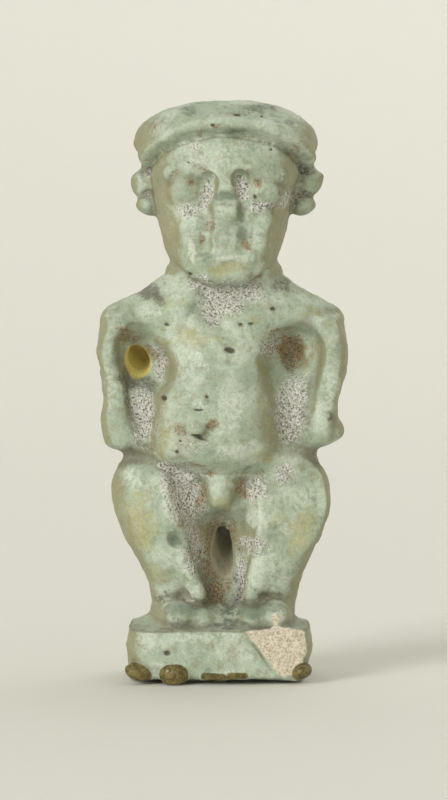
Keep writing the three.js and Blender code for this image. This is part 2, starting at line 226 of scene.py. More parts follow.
def curves_through(levels, step=0.1):
    """Smooth curves through the levels of an upright form, sampled every step of height."""
    rows = np.array(levels, float)
    z, v = rows[:, 0], rows[:, 1:]
    gap = np.diff(z)[:, None]
    rise = np.diff(v, axis=0) / gap
    inner = (rise[:-1] * gap[:-1] + rise[1:] * gap[1:]) / (gap[:-1] + gap[1:])
    slopes = np.vstack([rise[:1], inner, rise[-1:]])
    heights = np.arange(z[0], z[-1] + step, step)
    i = np.clip(np.searchsorted(z, heights, side="right") - 1, 0, len(z) - 2)
    t = np.clip((heights - z[i])[:, None] / gap[i], 0, 1)
    ease = t * t * (3 - 2 * t)
    bend = gap[i] * (t * (1 - t) ** 2 * slopes[i] - t * t * (1 - t) * slopes[i + 1])
    return v[i] * (1 - ease) + v[i + 1] * ease + bend


def upright(levels, power, low_end, high_end, shear=0.0):
    """An upright form through its levels, closed by rounded ends. shear leans its front sideways."""
    step = 0.1
    table = curves_through(levels, step).astype(np.float32)
    bottom, top = levels[0][0], levels[-1][0]

    def form(p):
        place = (np.clip(p[:, 2], bottom, top) - bottom) / step
        i = np.minimum(place.astype(int), len(table) - 2)
        t = (place - i)[:, None]
        left, right, front, back = (table[i] * (1 - t) + table[i + 1] * t).T
        width, depth = (right - left) / 2, (back - front) / 2
        end = np.where(p[:, 2] < bottom, low_end, high_end)
        y = p[:, 1] - (front + back) / 2
        beyond = np.maximum(np.maximum(bottom - p[:, 2], p[:, 2] - top), 0)
        q = [
            np.abs(p[:, 0] - (left + right) / 2 - shear * y) / width + 1e-4,
            np.abs(y) / depth + 1e-4,
            beyond / end + 1e-4,
        ]
        size = sum(v**power for v in q) ** (1 / power)
        slope = [(v / size) ** (power - 1) / s for v, s in zip(q, (width, depth, end))]
        return (size - 1) / np.sqrt(sum(s * s for s in slope))

    return form


# ---- the figure ----

head_form = upright(HEAD, 2.5, 1.4, 1.0)
cap_form = upright(CAP, 2.2, 2.0, 4.5)
shoulder_form = upright(SHOULDERS, 2.4, 1.2, 2.4)
trunk_form = upright(TRUNK, 2.2, 0.9, 2.0)
panel_form = upright(WAIST_PANEL, 4, 1.5, 1.5)
left_arm_form = upright(LEFT_ARM, 3, 1.6, 1.6)
right_arm_form = upright(RIGHT_ARM, 3, 1.6, 1.6)
left_leg_form = upright(LEFT_LEG, 2.2, 2.0, 3.7, 0.1)
right_leg_form = upright(RIGHT_LEG, 2.2, 2.0, 3.7, -0.1)
base_form = upright(BASE, 5, 1.3, 1.0)


def sockets(p):
    left = blob(p, (-3.0, -8.1, 48.9), (3.0, 2.3, 2.1), 2, -6)
    right = blob(p, (3.8, -8.1, 48.9), (2.8, 2.3, 2.1), 2, 6)
    return np.minimum(left, right)


def face_bumps(p):
    """Eyes, nose, brows, cheeks, lips and chin."""
    parts = [
        blob(p, (-3.6, -5.4, 49.0), (1.8, 1.3, 1.3), 2, -8),
        blob(p, (4.2, -5.3, 48.9), (1.7, 1.3, 1.3), 2, 8),
        blob(p, (0.4, -6.5, 46.95), (1.55, 1.1, 1.15), 2.6),
        bar(p, (0.3, -6.3, 51.6), (0.35, -6.3, 48.0), 0.8, 0.95),
        bar(p, (-0.4, -6.5, 45.3), (-0.3, -6.4, 43.4), 0.85, 1.1),
        bar(p, (-3.5, -5.6, 45.2), (-2.4, -6.0, 42.4), 0.9, 0.85),
        bar(p, (4.3, -5.5, 46.2), (3.3, -6.0, 42.6), 0.9, 0.85),
        bar(p, (-1.5, -6.5, 42.3), (2.4, -6.5, 42.2), 0.85, 0.8),
        bar(p, (-1.2, -6.0, 40.8), (1.9, -6.0, 40.8), 0.9, 0.9),
        bar(p, (-5.3, -5.6, 50.7), (-3.0, -6.1, 51.5), 0.55, 0.75),
        bar(p, (-3.0, -6.1, 51.5), (-0.5, -6.5, 50.6), 0.75, 0.7),
        bar(p, (1.2, -6.5, 50.8), (3.4, -6.1, 51.5), 0.7, 0.75),
        bar(p, (3.4, -6.1, 51.5), (5.7, -5.5, 50.5), 0.75, 0.55),
    ]
    return join_all(parts, 0.7)


def face_hollows(p):
    """Inner eye corners, the hollows below the eyes, nose root, mouth corners and chin line."""
    parts = [
        bar(p, (-1.2, -6.9, 50.0), (-2.1, -6.8, 47.3), 0.75, 0.75),
        bar(p, (1.8, -6.9, 50.3), (2.6, -6.8, 47.6), 0.75, 0.7),
        bar(p, (-2.1, -7.0, 47.2), (-4.2, -6.8, 47.4), 0.65, 0.45),
        bar(p, (2.6, -7.0, 47.3), (4.8, -6.7, 47.2), 0.65, 0.45),
        bar(p, (-0.5, -7.45, 48.3), (1.3, -7.45, 48.4), 0.65, 0.65),
        bar(p, (-1.5, -7.4, 46.9), (-1.5, -7.4, 45.4), 0.45, 0.5),
        bar(p, (2.25, -7.3, 47.0), (2.2, -7.3, 45.4), 0.5, 0.5),
        bar(p, (-2.0, -7.6, 44.6), (-1.9, -7.5, 43.6), 0.85, 0.8),
        bar(p, (2.4, -7.6, 44.0), (2.3, -7.5, 43.2), 0.85, 0.75),
        bar(p, (-1.0, -7.5, 41.45), (1.4, -7.5, 41.4), 0.5, 0.5),
    ]
    return join_all(parts, 0.4)


def above_rim(p):
    """Height above the slanting lower edge of the cap."""
    slant = RIM_SLOPE * (p[:, 1] - RIM_FRONT) + RIM_BOW * (p[:, 0] - 0.5) ** 2
    return p[:, 2] - RIM_HEIGHT + slant


def cap(p):
    above = above_rim(p)
    swell = np.maximum(1 - ((above - 0.9) / RIM_BAND) ** 2, 0)
    return carve(cap_form(p) - RIM_ROLL * swell * swell, above, 1.0)


def ears(p):
    left = join(
        blob(p, (-7.7, 0.4, 49.8), (1.6, 1.9, 1.6), 1.6, 25),
        blob(p, (-7.4, 0.1, 47.6), (1.25, 1.6, 1.0), 1.8),
        0.6,
    )
    right = join(
        blob(p, (8.4, 0.4, 49.9), (2.0, 1.9, 1.6), 1.5, -20),
        blob(p, (8.0, 0.1, 47.6), (1.4, 1.6, 1.05), 1.8),
        0.6,
    )
    return np.minimum(left, right)


def head(p):
    muzzle = blob(p, (0.1, -5.2, 42.9), (4.5, 1.8, 3.0), 2.3)
    d = join(head_form(p), muzzle, 1.4)
    d = carve(d, sockets(p), 0.6)
    d = join(d, face_bumps(p), 0.6)
    d = carve(d, face_hollows(p), 0.5)
    d = join(d, cap(p), 0.4)
    d += RIM_GROOVE * np.exp(-(((above_rim(p) + 0.25) / 0.4) ** 2))
    return join(d, ears(p), 0.9)


def armpits(p):
    """The hollows between the arms and the trunk."""
    left = join(
        blob(p, (-7.8, -4.8, 32.1), (2.5, 3.6, 3.4), 2.3, -34),
        bar(p, (-8.0, -5.2, 29.4), (-7.5, -5.4, 24.2), 1.75, 0.6, 1.4),
        1.0,
    )
    right = join(
        blob(p, (6.9, -4.9, 32.4), (2.7, 3.4, 3.2), 2.3, 24),
        bar(p, (6.9, -5.3, 30.2), (6.5, -5.5, 24.6), 1.75, 0.7, 1.4),
        1.0,
    )
    return np.minimum(left, right)


def hands(p):
    left = bar(p, (-10.4, -1.8, 25.2), (-8.2, -2.6, 24.0), 1.5, 1.1, 1.8)
    right = bar(p, (11.35, -1.6, 24.95), (8.6, -2.4, 24.6), 0.95, 1.25, 1.9)
    return np.minimum(left, right)


def neck_hollow(p):
    wide = blob(p, (0.2, -7.0, 38.7), (4.6, 2.7, 1.7), 2.2)
    point = blob(p, (-0.4, -6.9, 37.4), (2.3, 2.2, 2.7))
    return join(wide, point, 0.8)


def shoulder_blades(p):
    left = blob(p, (-4.6, 4.0, 35.0), (2.7, 1.7, 2.8), 2, 12)
    right = blob(p, (4.6, 4.0, 35.0), (2.7, 1.7, 2.8), 2, -12)
    return np.minimum(left, right)


def torso(p):
    arms = np.minimum(left_arm_form(p), right_arm_form(p))
    d = join(shoulder_form(p), trunk_form(p), 2.2)
    d = join(d, join(arms, hands(p), 1.4), 1.6)
    d = join(d, panel_form(p), 1.2)
    d = join(d, shoulder_blades(p), 1.2)
    d = carve(d, armpits(p), 0.9)
    d = carve(d, neck_hollow(p), 0.8)
    return carve(d, bar(p, (0, 6.3, 37.4), (0, 5.7, 25.0), 1.3, 1.2), 1.0)


def feet(p):
    left = join(
        blob(p, (-4.2, -3.6, 6.4), (2.2, 3.4, 1.9)),
        blob(p, (-2.0, -3.9, 6.0), (1.5, 3.0, 1.6)),
        0.7,
    )
    right = join(
        blob(p, (2.9, -3.7, 6.1), (1.8, 3.3, 1.8)),
        blob(p, (5.1, -3.6, 6.4), (1.9, 3.2, 1.9)),
        0.7,
    )
    return np.minimum(left, right)


def shins(p):
    """The ridges that run down the front of the legs, nearer each other at the feet."""
    left = join(
        bar(p, (-5.9, -5.9, 19.8), (-5.2, -6.1, 16.2), 0.8, 0.9),
        bar(p, (-5.2, -6.1, 16.2), (-2.4, -4.6, 8.8), 0.9, 0.9),
        0.6,
    )
    right = join(
        bar(p, (6.1, -5.9, 19.8), (5.0, -6.1, 16.2), 0.8, 0.9),
        bar(p, (5.0, -6.1, 16.2), (3.0, -4.6, 8.8), 0.9, 0.9),
        0.6,
    )
    return np.minimum(left, right)


def knee_hollows(p):
    left = blob(p, (-4.3, -6.9, 14.3), (1.0, 1.2, 0.7), 2, 20)
    right = blob(p, (4.0, -7.1, 14.3), (1.4, 1.2, 0.5), 2, -8)
    return np.minimum(left, right)


def chip(p):
    """The front right corner of the base has broken away: a small step, then a falling plane."""
    along = (p[:, 0] - CHIP_LEFT) * 0.806 + (p[:, 2] - CHIP_TOP) * 0.592
    return np.maximum((p[:, 1] - CHIP_FRONT - CHIP_STEP - CHIP_FALL * along) * 0.96, -along)


def drips(p):
    """Glaze that ran down and set below the front edge of the base."""
    parts = [
        blob(p, (-8.3, -7.2, 1.2), (1.35, 1.0, 0.75), 2, 20),
        blob(p, (-4.8, -7.9, 0.98), (1.3, 0.75, 1.0), 2.3),
        blob(p, (7.9, -6.8, 1.3), (0.95, 1.0, 0.65), 2, -15),
        bar(p, (-1.7, -7.8, 0.95), (0.2, -7.8, 0.85), 0.3, 0.25),
        bar(p, (0.9, -7.8, 0.95), (2.3, -7.8, 1.0), 0.3, 0.25),
    ]
    return np.minimum.reduce(parts)


def seat(p):
    left = blob(p, (-3.4, 3.7, 20.0), (3.7, 3.1, 3.1))
    right = blob(p, (3.4, 3.7, 20.0), (3.7, 3.1, 3.1))
    return np.minimum(left, right)


def legs_and_base(p):
    hips = blob(p, (-0.1, 0.7, 21.1), (8.9, 5.0, 4.0), 2.2)
    web = rounded_block(p, (0, 0.8, 12), (3.4, 3.6, 7.5), 0.8)
    groin = blob(p, (-0.1, -0.8, 18.3), (4.8, 3.9, 2.8))
    mound = blob(p, (-0.3, -0.2, 4.4), (8.7, 6.4, 3.2), 2.2)
    bevel = BEVEL_HEIGHT - p[:, 2] - BEVEL_LEAN * (p[:, 1] - BEVEL_FRONT)
    d = join(left_leg_form(p), right_leg_form(p), 1.5)
    d = join(d, shins(p), 1.2)
    d = join(d, hips, 1.4)
    d = join(d, join(web, groin, 1.0), 1.2)
    d = join(d, seat(p), 0.9)
    d = carve(d, knee_hollows(p), 0.5)
    d = join(d, mound, 1.2)
    d = join(d, feet(p), 0.8)
    d = join(d, base_form(p), 0.8)
    d = carve(d, chip(p), 0.25)
    d = carve(d, -bevel, 0.3)
    return join(d, drips(p), 0.6)


def slanted(p, lean, rise):
    """Shears the points, so that an opening drifts sideways and up behind its mouth."""
    behind = p[:, 1] - PASSAGE_MOUTH
    return np.stack([p[:, 0] - lean * behind, behind, p[:, 2] - rise * behind], axis=1)


def arm_hole(p):
    return blob(slanted(p, 0.12, 0.4), (-8.55, 0, 31.5), (0.95, 8.8, 1.45), 2, -22)


def arm_pit(p):
    return blob(p, (7.1, -2.4, 32.5), (1.15, 1.9, 1.8), 2.2, -8)


def leg_hole(p):
    return blob(slanted(p, 0.1, 0.46), (0.1, 0, 12.4), (1.0, 7.8, 2.05), 2, -6)


def near(p, low, high, form):
    """A form's distances for the points between two heights, and a large one elsewhere."""
    d = np.full(len(p), 6.0, p.dtype)
    inside = (p[:, 2] > low) & (p[:, 2] < high)
    if inside.any():
        d[inside] = form(p[inside])
    return d


def figure(p):
    navel = blob(p, (-1.4, -9.6, 25.1), (1.5, 1.5, 0.8), 2, -15)
    navel_nub = blob(p, (-2.5, -8.2, 25.4), (0.8, 0.7, 0.7))
    loins = bar(p, (-0.2, -4.4, 19.7), (-0.2, -4.9, 18.5), 1.6, 1.3, 1.1)
    collar_line = bar(p, (-3.4, -5.6, 39.2), (-1.7, -5.7, 37.0), 0.45, 0.4)
    leg_funnel = bar(p, (-0.1, -4.6, 14.9), (-0.2, -4.8, 8.6), 2.0, 0.8, 1.8)
    holes = np.minimum.reduce([arm_hole(p), arm_pit(p), leg_hole(p)])
    d = join(near(p, 34, 64, head), near(p, 14, 47, torso), 0.6)
    d = join(d, near(p, -9, 32, legs_and_base), 1.3)
    d = carve(d, leg_funnel, 0.8)
    d = join(d, loins, 0.8)
    d = carve(d, navel, 0.6)
    d = join(d, navel_nub, 0.5)
    d = carve(d, collar_line, 0.4)
    return carve(d, holes, 0.5)


# ---- a fine net of the figure ----

CELL = 0.28
COARSE = 4
NEAR_FRONT = 0.82
NEAR_BACK = 1.24
LOW = np.array([-17.0, -10.5, -42.0])
SPAN = np.array([34.0, 21.0, 80.0])
MIDDLE_HEIGHT = 29.0


def grid_point(index):
    """A grid place in millimetres. The grid is finer at the front of the figure than behind."""
    q = LOW + index * CELL
    back = (q[:, 1] - LOW[1]) / SPAN[1]
    spread = NEAR_FRONT + (NEAR_BACK - NEAR_FRONT) * back
    x = q[:, 0] * spread
    z = MIDDLE_HEIGHT + q[:, 2] * spread
    return np.stack([x, q[:, 1], z], axis=1).astype(np.float32)


def grid_distances():
    """Distances at all grid points: rough ones far away, true ones near the surface."""
    count = (np.ceil(SPAN / CELL / COARSE).astype(int)) * COARSE + 1
    rough_axes = [np.arange(0, n, COARSE) for n in count]
    rough_index = np.stack(np.meshgrid(*rough_axes, indexing="ij"), axis=-1)
    rough = figure(grid_point(rough_index.reshape(-1, 3))).reshape(rough_index.shape[:3])
    values = rough
    for axis in range(3):
        values = np.repeat(values, COARSE, axis=axis)
        values = np.take(values, np.arange(count[axis]), axis=axis, mode="clip")
    reach = CELL * COARSE * NEAR_BACK * 1.9
    band = np.argwhere(np.abs(values) < reach)
    shown = grid_point(band)[:, 2] > -1.2
    band = band[shown]
    values[tuple(band.T)] = figure(grid_point(band))
    return values


def crossings(values, cells):
    """The mean of the places where the surface crosses each cell's twelve edges."""
    total = np.zeros((len(cells), 3))
    count = np.zeros(len(cells))
    for axis in range(3):
        for side in range(4):
            a = cells.copy()
            a[:, (axis + 1) % 3] += side & 1
            a[:, (axis + 2) % 3] += side >> 1
            b = a.copy()
            b[:, axis] += 1
            da, db = values[tuple(a.T)], values[tuple(b.T)]
            crossed = (da < 0) != (db < 0)
            t = da[crossed] / (da[crossed] - db[crossed])
            total[crossed] += a[crossed]
            total[crossed, axis] += t
            count[crossed] += 1
    return total / count[:, None]


def first_net(values):
    """One vertex in every grid cell the surface passes through, and a face round each crossed edge."""
    inside = values < 0
    corners = [
        inside[i : i - 1 or None, j : j - 1 or None, k : k - 1 or None]
        for i in (0, 1)
        for j in (0, 1)
        for k in (0, 1)
    ]
    some = np.logical_or.reduce(corners)
    mixed = some & ~np.logical_and.reduce(corners)
    cells = np.argwhere(mixed)
    number = np.full(mixed.shape, -1)
    number[tuple(cells.T)] = np.arange(len(cells))
    faces = []
    for axis in range(3):
        n = values.shape[axis]
        below = np.take(inside, range(n - 1), axis=axis)
        above = np.take(inside, range(1, n), axis=axis)
        edges = np.argwhere(below != above)
        ring = []
        for u, v in ((0, 0), (-1, 0), (-1, -1), (0, -1)):
            cell = edges.copy()
            cell[:, (axis + 1) % 3] += u
            cell[:, (axis + 2) % 3] += v
            ring.append(number[tuple(cell.T)])
        ring = np.stack(ring, axis=1)
        outward = below[tuple(edges.T)]
        faces.append(np.where(outward[:, None], ring, ring[:, ::-1]))
    return grid_point(crossings(values, cells)), np.concatenate(faces)


def slope_at(p):
    step = 0.02
    slope = np.zeros_like(p)
    for axis in range(3):
        shift = np.zeros(3, p.dtype)
        shift[axis] = step
        slope[:, axis] = (figure(p + shift) - figure(p - shift)) / (2 * step)
    return slope


def settle(p, passes=2):
    """Carries points along the slope until they lie on the surface, and gives its normals too."""
    for _ in range(passes):
        d = figure(p)
        slope = slope_at(p)
        steep = (slope * slope).sum(1)
        move = np.clip(d / np.maximum(steep, 0.05), -0.3, 0.3)
        p = p - slope * move[:, None]
    normal = slope / np.sqrt(np.maximum(steep, 1e-6))[:, None]
    return p, normal


# ---- wear, pits, the zones of the glaze, and painted shade and highlights ----

LATTICE = np.random.default_rng(5).random((64, 64, 64)).astype(np.float32) * 2 - 1


def noise(p, size, shift=0.0):
    """Smooth random values from -1 to 1 that change over a given size."""
    q = p / size + shift
    low = np.floor(q).astype(int)
    t = q - low
    t = t * t * (3 - 2 * t)
    total = np.zeros(len(p), np.float32)
    for i in (0, 1):
        for j in (0, 1):
            for k in (0, 1):
                corner = (low + (i, j, k)) % 64
                weight = np.prod(np.where((i, j, k), t, 1 - t), axis=1)
                total += weight * LATTICE[tuple(corner.T)]
    return total


def ramp(v, low, high):
    t = np.clip((v - low) / (high - low), 0, 1)
    return t * t * (3 - 2 * t)


# Each row is a soft patch on the front: x, height, half width, half height, twist, strength.
GREY_HOLLOWS = [
    (-1.5, 48.5, 0.8, 1.8, 19, 1.0),
    (-2.9, 47.2, 1.7, 0.7, -8, 0.95),
    (2.1, 49.1, 0.7, 1.7, -15, 1.0),
    (3.8, 47.25, 1.6, 0.65, 5, 0.95),
    (6.8, 48.4, 1.6, 1.1, 0, 0.7),
    (-2.7, 53.1, 1.3, 0.8, 0, 0.45),
    (2.8, 53.5, 1.5, 0.8, 0, 0.45),
    (-1.7, 40.3, 1.3, 0.4, 15, 0.7),
    (0.0, 38.3, 2.7, 2.0, 0, 1.0),
    (-1.0, 37.0, 1.6, 1.4, 0, 0.95),
    (2.8, 39.0, 2.2, 0.9, 10, 0.85),
    (-2.3, 39.5, 1.6, 0.8, -10, 0.8),
    (-8.0, 26.8, 1.5, 3.4, -8, 1.0),
    (-6.2, 32.0, 0.9, 2.2, 0, 0.85),
    (7.0, 27.4, 1.7, 3.9, 4, 1.0),
    (4.9, 33.6, 1.4, 1.4, 0, 0.8),
    (-3.8, 18.7, 2.0, 3.7, -20, 1.0),
    (-2.9, 13.6, 1.1, 3.4, -8, 0.9),
    (-5.1, 21.3, 1.5, 1.0, 20, 0.9),
    (3.3, 19.2, 1.7, 1.5, -20, 0.8),
    (3.0, 13.7, 1.7, 0.9, 0, 0.9),
    (1.9, 10.2, 0.9, 2.8, 6, 0.9),
    (6.3, 20.8, 1.2, 1.2, 0, 0.7),
    (-1.8, 31.8, 1.4, 1.4, 0, 0.35),
    (-2.8, 24.0, 2.0, 0.9, 0, 0.45),
]
RUST_STAINS = [
    (-9.3, 34.4, 1.6, 1.0, 25, 0.8),
    (-7.2, 32.8, 0.8, 1.5, -20, 0.7),
    (7.0, 33.0, 1.6, 2.1, -10, 1.0),
    (5.4, 34.9, 1.3, 0.5, -20, 0.6),
    (-0.2, 12.3, 1.9, 4.6, 0, 0.95),
    (-0.4, 8.8, 1.0, 1.4, 0, 0.95),
    (2.1, 19.3, 0.8, 1.3, 0, 0.75),
    (-2.2, 18.4, 0.7, 1.7, 15, 0.7),
    (-1.1, 20.9, 0.6, 0.4, 0, 0.9),
    (3.9, 20.9, 1.1, 0.5, -20, 0.55),
    (-3.0, 49.85, 0.65, 0.5, 0, 0.95),
    (3.5, 49.7, 0.5, 0.7, 0, 0.75),
    (-1.9, 44.2, 0.55, 0.8, 0, 0.9),
    (2.4, 43.5, 0.55, 0.6, 0, 1.0),
    (-1.1, 45.6, 0.5, 0.9, 0, 0.6),
    (-1.9, 51.0, 1.6, 0.35, 22, 0.65),
    (3.0, 51.2, 1.5, 0.35, -6, 0.5),
    (-4.9, 50.6, 0.8, 0.4, -30, 0.5),
    (3.6, 40.6, 1.3, 0.4, -25, 0.65),
    (-0.8, 25.9, 0.7, 0.7, 0, 0.9),
    (-4.2, 25.1, 1.3, 0.9, 10, 0.6),
    (-2.8, 21.6, 1.6, 0.3, 12, 0.6),
    (-6.7, 55.6, 0.8, 0.8, 0, 0.45),
    (-0.9, 55.4, 0.5, 0.25, 0, 0.7),
    (7.2, 53.2, 0.8, 1.0, 0, 0.5),
    (1.0, 2.8, 0.8, 1.1, 0, 0.45),
    (7.7, 20.0, 0.9, 0.9, 0, 0.35),
    (-8.2, 3.4, 1.0, 1.3, 0, 0.3),
]
# Green-grey patches: partly a green tint of the glaze, partly painted shade in the nose root, beside the
# nose, in the mouth, under the knee, on the left arm's inner side and over the feet.
DARK_GREEN = [
    (0.4, 48.4, 1.3, 0.65, 0, 1.0),
    (2.0, 44.7, 0.8, 1.2, 0, 0.85),
    (1.9, 46.6, 0.45, 1.1, 0, 0.8),
    (-3.9, 7.4, 2.6, 0.9, 0, 0.8),
    (3.2, 7.3, 3.4, 0.9, 0, 0.8),
    (-4.7, 14.3, 0.9, 0.7, 0, 0.9),
    (-10.6, 32.0, 0.9, 0.6, 0, 0.6),
    (8.5, 35.5, 2.0, 2.0, 0, 0.35),
    (0.3, 30.0, 3.5, 1.6, 0, 0.3),
    (-6.7, 17.6, 0.7, 2.6, -8, 0.4),
    (-3.4, 37.0, 0.5, 1.5, 38, 0.7),
    (-4.5, 3.6, 3.5, 1.2, 0, 0.35),
]
# Dark patches: partly stains, as on the shoulder tops, and partly painted shade, as on the cap's top, under
# its rim, beside the arms and over the feet.
SOOT_STAINS = [
    (-7.3, 38.9, 2.0, 0.9, 25, 0.9),
    (6.2, 39.8, 1.6, 0.9, -30, 0.75),
    (-8.9, 30.4, 1.5, 1.3, 0, 0.95),
    (-7.2, 29.6, 1.1, 1.0, 0, 0.8),
    (-9.4, 27.9, 0.5, 2.2, -10, 0.6),
    (1.8, 5.9, 4.8, 0.28, 0, 0.8),
    (-4.4, 6.2, 1.4, 0.5, 10, 0.7),
    (-5.3, 8.6, 2.0, 0.45, -12, 0.7),
    (5.0, 8.7, 2.0, 0.45, 8, 0.6),
    (0.6, 7.2, 1.2, 0.9, 0, 0.7),
    (-3.6, 56.9, 1.4, 0.5, 8, 0.6),
    (3.6, 57.0, 2.4, 0.5, -5, 0.6),
    (0.9, 54.7, 2.6, 0.3, 0, 0.5),
    (10.8, 26.6, 0.9, 0.6, 0, 0.7),
    (5.6, 49.8, 0.7, 1.3, 0, 0.5),
    (-9.0, 22.6, 1.2, 1.6, 0, 0.5),
    (4.9, 46.7, 1.0, 0.5, 0, 0.4),
    (1.6, 8.8, 0.6, 1.6, 0, 0.6),
]
# Painted highlights: pale patches where the light falls, on the belly, the leg fronts, lips, cheeks, nose,
# forehead, arm fronts, shoulder and base front.
PALE_PATCHES = [
    (0.9, 28.2, 1.6, 2.6, 0, 0.9),
    (1.8, 23.4, 3.0, 0.8, 0, 0.9),
    (-2.6, 32.4, 0.9, 1.2, 0, 0.7),
    (-2.3, 27.8, 0.9, 0.9, 0, 0.6),
    (3.9, 11.2, 1.7, 2.3, 0, 1.0),
    (3.6, 16.4, 1.5, 1.1, 0, 1.0),
    (-5.5, 18.4, 0.35, 2.4, -12, 0.9),
    (-4.0, 12.4, 0.35, 3.0, -22, 0.9),
    (-3.0, 9.3, 1.6, 1.0, 0, 0.8),
    (-8.8, 20.4, 1.4, 1.2, 0, 0.6),
    (8.2, 18.4, 1.6, 1.6, 0, 0.5),
    (0.4, 42.2, 2.1, 0.35, 0, 0.8),
    (-2.9, 43.3, 0.5, 1.4, -15, 0.7),
    (3.9, 44.8, 0.8, 1.8, 0, 0.5),
    (0.3, 52.0, 1.5, 1.5, 0, 0.4),
    (0.4, 47.0, 1.0, 0.8, 0, 0.5),
    (-11.0, 32.2, 0.6, 3.6, 0, 0.5),
    (11.0, 29.6, 0.8, 2.4, 0, 0.6),
    (-6.6, 37.2, 2.2, 0.9, 0, 0.4),
    (-5.4, 1.9, 2.6, 0.6, 0, 0.5),
    (-1.8, 4.9, 4.5, 0.6, 0, 0.5),
    (-6.3, 22.3, 0.5, 1.6, -10, 0.5),
]
YELLOW_PATCHES = [
    (-8.2, 15.8, 1.5, 3.6, -10, 0.9),
    (-6.6, 10.8, 1.2, 1.8, -20, 0.7),
    (7.9, 15.0, 1.3, 2.8, 10, 0.8),
    (5.6, 16.6, 0.9, 0.9, 0, 0.6),
    (-3.0, 34.3, 2.6, 1.0, 0, 0.6),
    (-5.8, 24.2, 0.8, 2.4, 0, 0.7),
    (3.8, 22.8, 1.6, 0.9, 15, 0.8),
    (0.0, 17.8, 1.1, 0.9, 0, 0.7),
    (0.3, 41.1, 2.5, 0.7, 0, 0.9),
    (3.2, 36.6, 2.2, 0.8, 0, 0.4),
    (-5.0, 38.0, 2.0, 0.7, 10, 0.5),
    (-5.2, 47.6, 0.7, 3.0, -8, 0.6),
    (5.4, 45.6, 0.7, 2.6, 8, 0.5),
    (-6.0, 33.4, 1.0, 1.6, 0, 0.4),
    (8.4, 36.9, 1.8, 0.9, 0, 0.5),
]
# Each row is a burst bubble on the front: x, height, half width, half height, twist, depth.
PITS = [
    (1.5, 56.6, 0.45, 0.22, 0, 0.3),
    (4.0, 56.6, 0.22, 0.18, 0, 0.25),
    (-0.9, 55.4, 0.3, 0.16, 0, 0.1),
    (4.95, 53.1, 0.2, 0.2, 0, 0.3),
    (-3.4, 51.9, 0.3, 0.16, 20, 0.15),
    (-3.1, 40.8, 0.3, 0.22, 0, 0.2),
    (0.8, 33.2, 0.75, 0.34, 12, 0.35),
    (1.9, 35.7, 0.42, 0.2, 0, 0.28),
    (2.9, 35.75, 0.42, 0.18, -5, 0.25),
    (-5.5, 35.7, 0.34, 0.28, 0, 0.2),
    (5.1, 37.3, 0.34, 0.28, 0, 0.25),
    (-5.85, 28.5, 0.34, 0.28, 0, 0.2),
    (-1.5, 28.7, 0.26, 0.22, 0, 0.18),
    (-2.3, 27.4, 0.75, 0.2, -8, 0.15),
    (-4.5, 23.1, 0.3, 0.24, 0, 0.2),
    (-4.15, 24.3, 0.22, 0.2, 0, 0.18),
    (-5.45, 3.2, 0.4, 0.34, 0, 0.3),
    (-8.6, 10.9, 0.3, 0.25, 0, 0.15),
    (9.6, 13.4, 0.3, 0.25, 0, 0.15),
    (3.3, 48.4, 0.25, 0.3, 0, 0.1),
    (-0.6, 13.0, 0.3, 0.3, 0, 0.1),
]
# The crescent groove below the navel's nub.
PITS += [(-2.4, 24.7, 0.95, 0.22, 8, 0.3)]


def patches(p, normal, rows, edge=0.0):
    """How strongly each point of the front lies in any of the rows' patches, from 0 to 1."""
    facing = ramp(-normal[:, 1], edge, edge + 0.35) * ramp(-p[:, 1], -2.5, 0.5)
    found = np.zeros(len(p), np.float32)
    for x, height, half_width, half_height, twist, strength in rows:
        turn = math.radians(twist)
        dx, dz = p[:, 0] - x, p[:, 2] - height
        u = (dx * math.cos(turn) - dz * math.sin(turn)) / half_width
        v = (dx * math.sin(turn) + dz * math.cos(turn)) / half_height
        found = np.maximum(found, strength * (1 - ramp(np.sqrt(u * u + v * v), 0.3, 1.45)))
    return found * facing


def closeness(p, normal, reaches):
    """How much of the room over each point is filled by the figure, from 0 to 1."""
    filled = np.zeros(len(p), np.float32)
    for reach in reaches:
        filled += np.clip(1 - figure(p + normal * reach) / reach, 0, 1)
    return filled / len(reaches)


